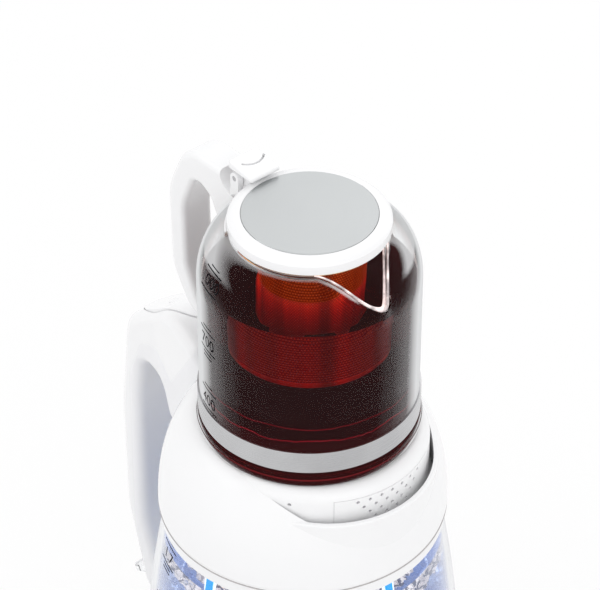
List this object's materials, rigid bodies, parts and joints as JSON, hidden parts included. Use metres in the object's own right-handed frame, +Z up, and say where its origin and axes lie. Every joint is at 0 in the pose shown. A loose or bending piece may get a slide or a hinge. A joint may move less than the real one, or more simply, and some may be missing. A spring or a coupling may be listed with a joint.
{
  "type": "automatic tea maker",
  "caption": "Two-tier electric tea maker: glass kettle with domed spout lid on a power base with buttons, and a glass teapot with infuser basket and hinged lid on top.",
  "frame": {"origin": "on the kettle's upright axis at the table's surface, under the power base's centre", "axes": "+X towards the pouring spouts, -X to the handles, -Y to the control panel, +Z up"},
  "size_m": [0.2375, 0.208, 0.3728],
  "materials": {
    "white_plastic": "smooth white",
    "grip_plastic": "smooth white",
    "fascia_plastic": "satin grey",
    "button_plastic": "satin white",
    "disc_metal": "fine satin",
    "band_steel": "brushed round",
    "plain_steel": "plain",
    "basket_steel": "perforated",
    "spring_steel": "bright wire",
    "teapot_glass": "clear",
    "kettle_glass": "clear",
    "light_plastic": "clear diffusing",
    "lever_plastic": "clear",
    "silicone": "soft",
    "foot_rubber": "matte",
    "board_laminate": "circuit board",
    "dark_plastic": "moulded"
  },
  "bodies": {
    "base": {"base_upper_shell": "white_plastic", "base_bottom_cover": "white_plastic", "base_feet": "foot_rubber", "base_screws": "plain_steel", "control_fascia": "fascia_plastic", "indicator_lenses": "light_plastic", "control_board": "board_laminate", "button_switches": "dark_plastic", "buzzer": "dark_plastic"},
    "tower": {"power_tower": "dark_plastic"},
    "kettle": {"kettle_bottom_cover": "white_plastic", "kettle_cover_screws": "plain_steel", "kettle_connector": "dark_plastic", "bottom_housing": "white_plastic", "light_ring": "light_plastic", "lower_gasket": "silicone", "heating_plate": "band_steel", "heating_element": "plain_steel", "temperature_probe": "plain_steel", "kettle_glass": "kettle_glass", "upper_gasket": "silicone", "rim_ring": "white_plastic", "dome_cover": "white_plastic", "strainer": "white_plastic", "handle_shell": "white_plastic", "handle_grip": "grip_plastic", "handle_screws": "plain_steel", "release_spring": "spring_steel", "lever_pin": "plain_steel", "micro_switch": "dark_plastic"},
    "release_button": {"release_button": "white_plastic"},
    "release_latch": {"release_latch": "dark_plastic"},
    "switch_lever": {"switch_lever": "lever_plastic"},
    "tea_button": {"tea_button": "button_plastic"},
    "boil_button": {"boil_button": "button_plastic"},
    "keep_warm_button": {"keep_warm_button": "button_plastic"},
    "kettle_lid": {"kettle_lid": "white_plastic", "kettle_lid_seal": "silicone"},
    "teapot": {"teapot_glass": "teapot_glass", "teapot_band": "band_steel", "teapot_collar": "white_plastic", "teapot_handle": "white_plastic", "teapot_handle_screw": "plain_steel", "hinge_pin": "plain_steel", "infuser_basket": "basket_steel", "basket_rim": "basket_steel"},
    "teapot_lid": {"teapot_lid": "white_plastic", "lid_disc": "disc_metal", "lid_seal": "silicone", "thumb_tab": "white_plastic"}
  },
  "joints": [
    {"name": "base_swivel", "type": "hinge", "parent": "base", "child": "tower", "pos_m": [0, 0, 0.027], "axis": [0, 0, 1], "continuous": true},
    {"name": "kettle_lift", "type": "slide", "parent": "tower", "child": "kettle", "axis": [0, 0, 1], "range_m": [0, 0.1]},
    {"name": "release_press", "type": "slide", "parent": "kettle", "child": "release_button", "axis": [0, 0, -1], "range_m": [0, 0.0025], "stiffness_N_per_m": 500, "springref_m": -0.002, "deforming": ["release_spring"]},
    {"name": "latch_slide", "type": "slide", "parent": "kettle", "child": "release_latch", "axis": [-1, 0, 0], "range_m": [0, 0.0025]},
    {"name": "switch_tilt", "type": "hinge", "parent": "kettle", "child": "switch_lever", "pos_m": [-0.119, 0, 0.0368], "axis": [0, 1, 0], "range_deg": [0, 12]},
    {"name": "kettle_lid_lift", "type": "slide", "parent": "kettle", "child": "kettle_lid", "axis": [0, 0, 1], "range_m": [0, 0.06]},
    {"name": "teapot_lift", "type": "slide", "parent": "kettle_lid", "child": "teapot", "axis": [0, 0, 1], "range_m": [0, 0.12]},
    {"name": "teapot_lid_hinge", "type": "hinge", "parent": "teapot", "child": "teapot_lid", "pos_m": [-0.041, 0, 0.3633], "axis": [0, -1, 0], "range_deg": [0, 80]},
    {"name": "tea_press", "type": "slide", "parent": "base", "child": "tea_button", "axis": [0, 0.3085, -0.9512], "range_m": [0, 0.0012], "stiffness_N_per_m": 400, "springref_m": -0.002},
    {"name": "boil_press", "type": "slide", "parent": "base", "child": "boil_button", "axis": [0, 0.3085, -0.9512], "range_m": [0, 0.0012], "stiffness_N_per_m": 400, "springref_m": -0.002},
    {"name": "keep_warm_press", "type": "slide", "parent": "base", "child": "keep_warm_button", "axis": [0, 0.3085, -0.9512], "range_m": [0, 0.0012], "stiffness_N_per_m": 400, "springref_m": -0.002}
  ],
  "couplings": [
    {"joint": "latch_slide", "follows": "release_press", "ratio": 1}
  ]
}
